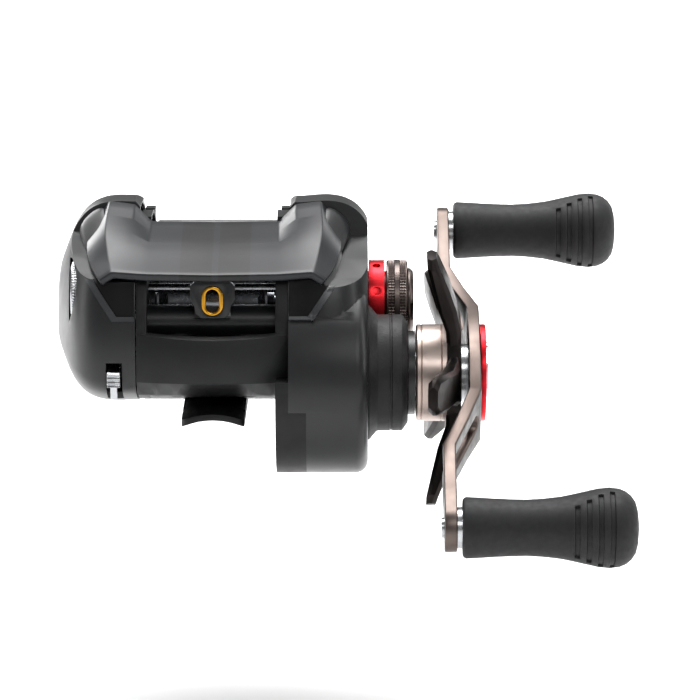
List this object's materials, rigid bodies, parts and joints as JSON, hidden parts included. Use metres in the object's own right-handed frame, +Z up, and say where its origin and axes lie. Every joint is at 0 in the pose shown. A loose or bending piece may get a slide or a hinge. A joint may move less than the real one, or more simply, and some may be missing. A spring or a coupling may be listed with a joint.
{
  "type": "baitcasting reel",
  "caption": "Low-profile baitcasting fishing reel: framed spool under a front hood, sliding line guide, side covers, star drag and a double handle with round-ended knobs.",
  "frame": {"origin": "crown of the saddle under the reel foot, at the middle of the rod seat line", "axes": "+X along the spool axis to the handle side, -Y forward to the rod tip, +Z up away from the rod"},
  "size_m": [0.1116, 0.0934, 0.0641],
  "materials": {
    "painted_body": "dark graphite metallic paint, satin",
    "black_plastic": "black textured plastic",
    "red_anodised": "red anodised",
    "steel": "bright steel",
    "gold_guide": "gold hard ring",
    "brass": "machined brass",
    "spool_metal": "champagne anodised",
    "silver": "satin silver",
    "gunmetal": "gunmetal anodised",
    "champagne": "satin champagne",
    "drag_carbon": "woven carbon fibre",
    "rubber": "matte black rubber"
  },
  "bodies": {
    "frame": {"frame": "painted_body", "hood": "painted_body", "gear_cover": "painted_body", "clutch_housing": "black_plastic", "red_ring": "red_anodised", "cover_screws": "steel", "guard_tube": "black_plastic", "guide_bar": "steel", "yoke_posts": "steel", "yoke_springs": "steel", "pinion_bearing": "steel", "drive_bearing": "steel", "spool_bearing_right": "steel", "one_way_clutch": "steel"},
    "worm": {"worm": "steel", "worm_gear": "brass"},
    "line_guide": {"line_guide": "black_plastic", "guide_ring": "gold_guide", "pawl": "brass"},
    "spool": {"spool": "spool_metal", "spool_shaft": "steel", "cross_pin": "steel", "brake_rotor": "spool_metal"},
    "clutch_yoke": {"clutch_yoke": "black_plastic"},
    "pinion": {"pinion": "brass"},
    "clutch_cam": {"clutch_cam": "black_plastic"},
    "thumb_bar": {"thumb_bar": "black_plastic"},
    "palm_cover": {"palm_cover": "painted_body", "brake_plate": "black_plastic", "spool_bearing_left": "steel"},
    "brake_dial": {"brake_dial": "silver"},
    "magnet_ring": {"magnet_ring": "black_plastic", "magnets": "steel"},
    "lock_lever": {"lock_lever": "silver"},
    "tension_carrier": {"tension_pad": "brass"},
    "tension_knob": {"tension_knob": "gunmetal", "tension_cap": "gunmetal"},
    "crank": {"drive_shaft": "steel", "level_driver": "brass", "ratchet": "steel", "drive_gear": "brass", "drag_washers": "drag_carbon", "pressure_plate": "steel", "clutch_sleeve": "steel", "neck_ring": "black_plastic", "drag_springs": "steel", "handle_washer": "steel", "handle": "gunmetal", "handle_nut": "steel", "retainer_plate": "red_anodised", "retainer_screw": "steel", "knob_spindles": "steel", "knob_washers": "steel"},
    "star": {"drag_star": "gunmetal", "star_hub": "champagne"},
    "drag_nut": {"drag_nut": "steel"},
    "knob_a": {"knob_a": "rubber", "knob_bearings_a": "steel"},
    "knob_b": {"knob_b": "rubber", "knob_bearings_b": "steel"}
  },
  "joints": [
    {"name": "handle_turn", "type": "hinge", "parent": "frame", "child": "crank", "pos_m": [0, -0.01624, 0.0072], "axis": [1, 0, 0], "continuous": true},
    {"name": "knob_a_spin", "type": "hinge", "parent": "crank", "child": "knob_a", "pos_m": [0, -0.05481, -0.01598], "axis": [1, 0, 0], "continuous": true},
    {"name": "knob_b_spin", "type": "hinge", "parent": "crank", "child": "knob_b", "pos_m": [0, 0.02233, 0.03038], "axis": [1, 0, 0], "continuous": true},
    {"name": "star_turn", "type": "hinge", "parent": "crank", "child": "star", "pos_m": [0, -0.01624, 0.0072], "axis": [1, 0, 0], "range_deg": [-360, 0]},
    {"name": "drag_nut_feed", "type": "slide", "parent": "star", "child": "drag_nut", "axis": [1, 0, 0], "range_m": [0, 0.0008]},
    {"name": "spool_spin", "type": "hinge", "parent": "frame", "child": "spool", "pos_m": [0, 0, 0.019], "axis": [1, 0, 0], "continuous": true},
    {"name": "yoke_shift", "type": "slide", "parent": "frame", "child": "clutch_yoke", "axis": [1, 0, 0], "range_m": [0, 0.002]},
    {"name": "pinion_spin", "type": "hinge", "parent": "clutch_yoke", "child": "pinion", "pos_m": [0, 0, 0.019], "axis": [1, 0, 0], "continuous": true},
    {"name": "cam_turn", "type": "hinge", "parent": "frame", "child": "clutch_cam", "pos_m": [0, 0, 0.019], "axis": [1, 0, 0], "range_deg": [-23.4, 0]},
    {"name": "thumb_press", "type": "slide", "parent": "frame", "child": "thumb_bar", "axis": [0, 0.342, -0.9397], "range_m": [0, 0.0045]},
    {"name": "worm_spin", "type": "hinge", "parent": "frame", "child": "worm", "pos_m": [0, -0.02359, 0.01852], "axis": [1, 0, 0], "continuous": true},
    {"name": "line_guide_travel", "type": "slide", "parent": "frame", "child": "line_guide", "axis": [1, 0, 0], "range_m": [-0.0076, 0.0076]},
    {"name": "tension_feed", "type": "slide", "parent": "frame", "child": "tension_carrier", "axis": [1, 0, 0], "range_m": [-0.00004, 0.0012]},
    {"name": "tension_turn", "type": "hinge", "parent": "tension_carrier", "child": "tension_knob", "pos_m": [0, 0, 0.019], "axis": [1, 0, 0], "range_deg": [-15, 540]},
    {"name": "palm_cover_slide", "type": "slide", "parent": "frame", "child": "palm_cover", "axis": [-1, 0, 0], "range_m": [0, 0.03]},
    {"name": "brake_dial_turn", "type": "hinge", "parent": "palm_cover", "child": "brake_dial", "pos_m": [0, -0.0184, 0.0232], "axis": [1, 0, 0], "range_deg": [0, 270]},
    {"name": "magnet_shift", "type": "slide", "parent": "palm_cover", "child": "magnet_ring", "axis": [-1, 0, 0], "range_m": [0, 0.002]},
    {"name": "lock_lever_turn", "type": "hinge", "parent": "palm_cover", "child": "lock_lever", "pos_m": [0, -0.0245, 0.009], "axis": [1, 0, 0], "range_deg": [0, 25]}
  ],
  "couplings": [
    {"joint": "spool_spin", "follows": "handle_turn", "ratio": -6.3},
    {"joint": "pinion_spin", "follows": "handle_turn", "ratio": -6.3},
    {"joint": "worm_spin", "follows": "handle_turn", "ratio": -1.6471},
    {"joint": "drag_nut_feed", "follows": "star_turn", "m_per_rad": -0.00012732},
    {"joint": "yoke_shift", "follows": "thumb_press", "ratio": 0.44444},
    {"joint": "cam_turn", "follows": "thumb_press", "rad_per_m": -90.36},
    {"joint": "tension_feed", "follows": "tension_turn", "m_per_rad": 0.00011937},
    {"joint": "magnet_shift", "follows": "brake_dial_turn", "m_per_rad": 0.00042441}
  ]
}
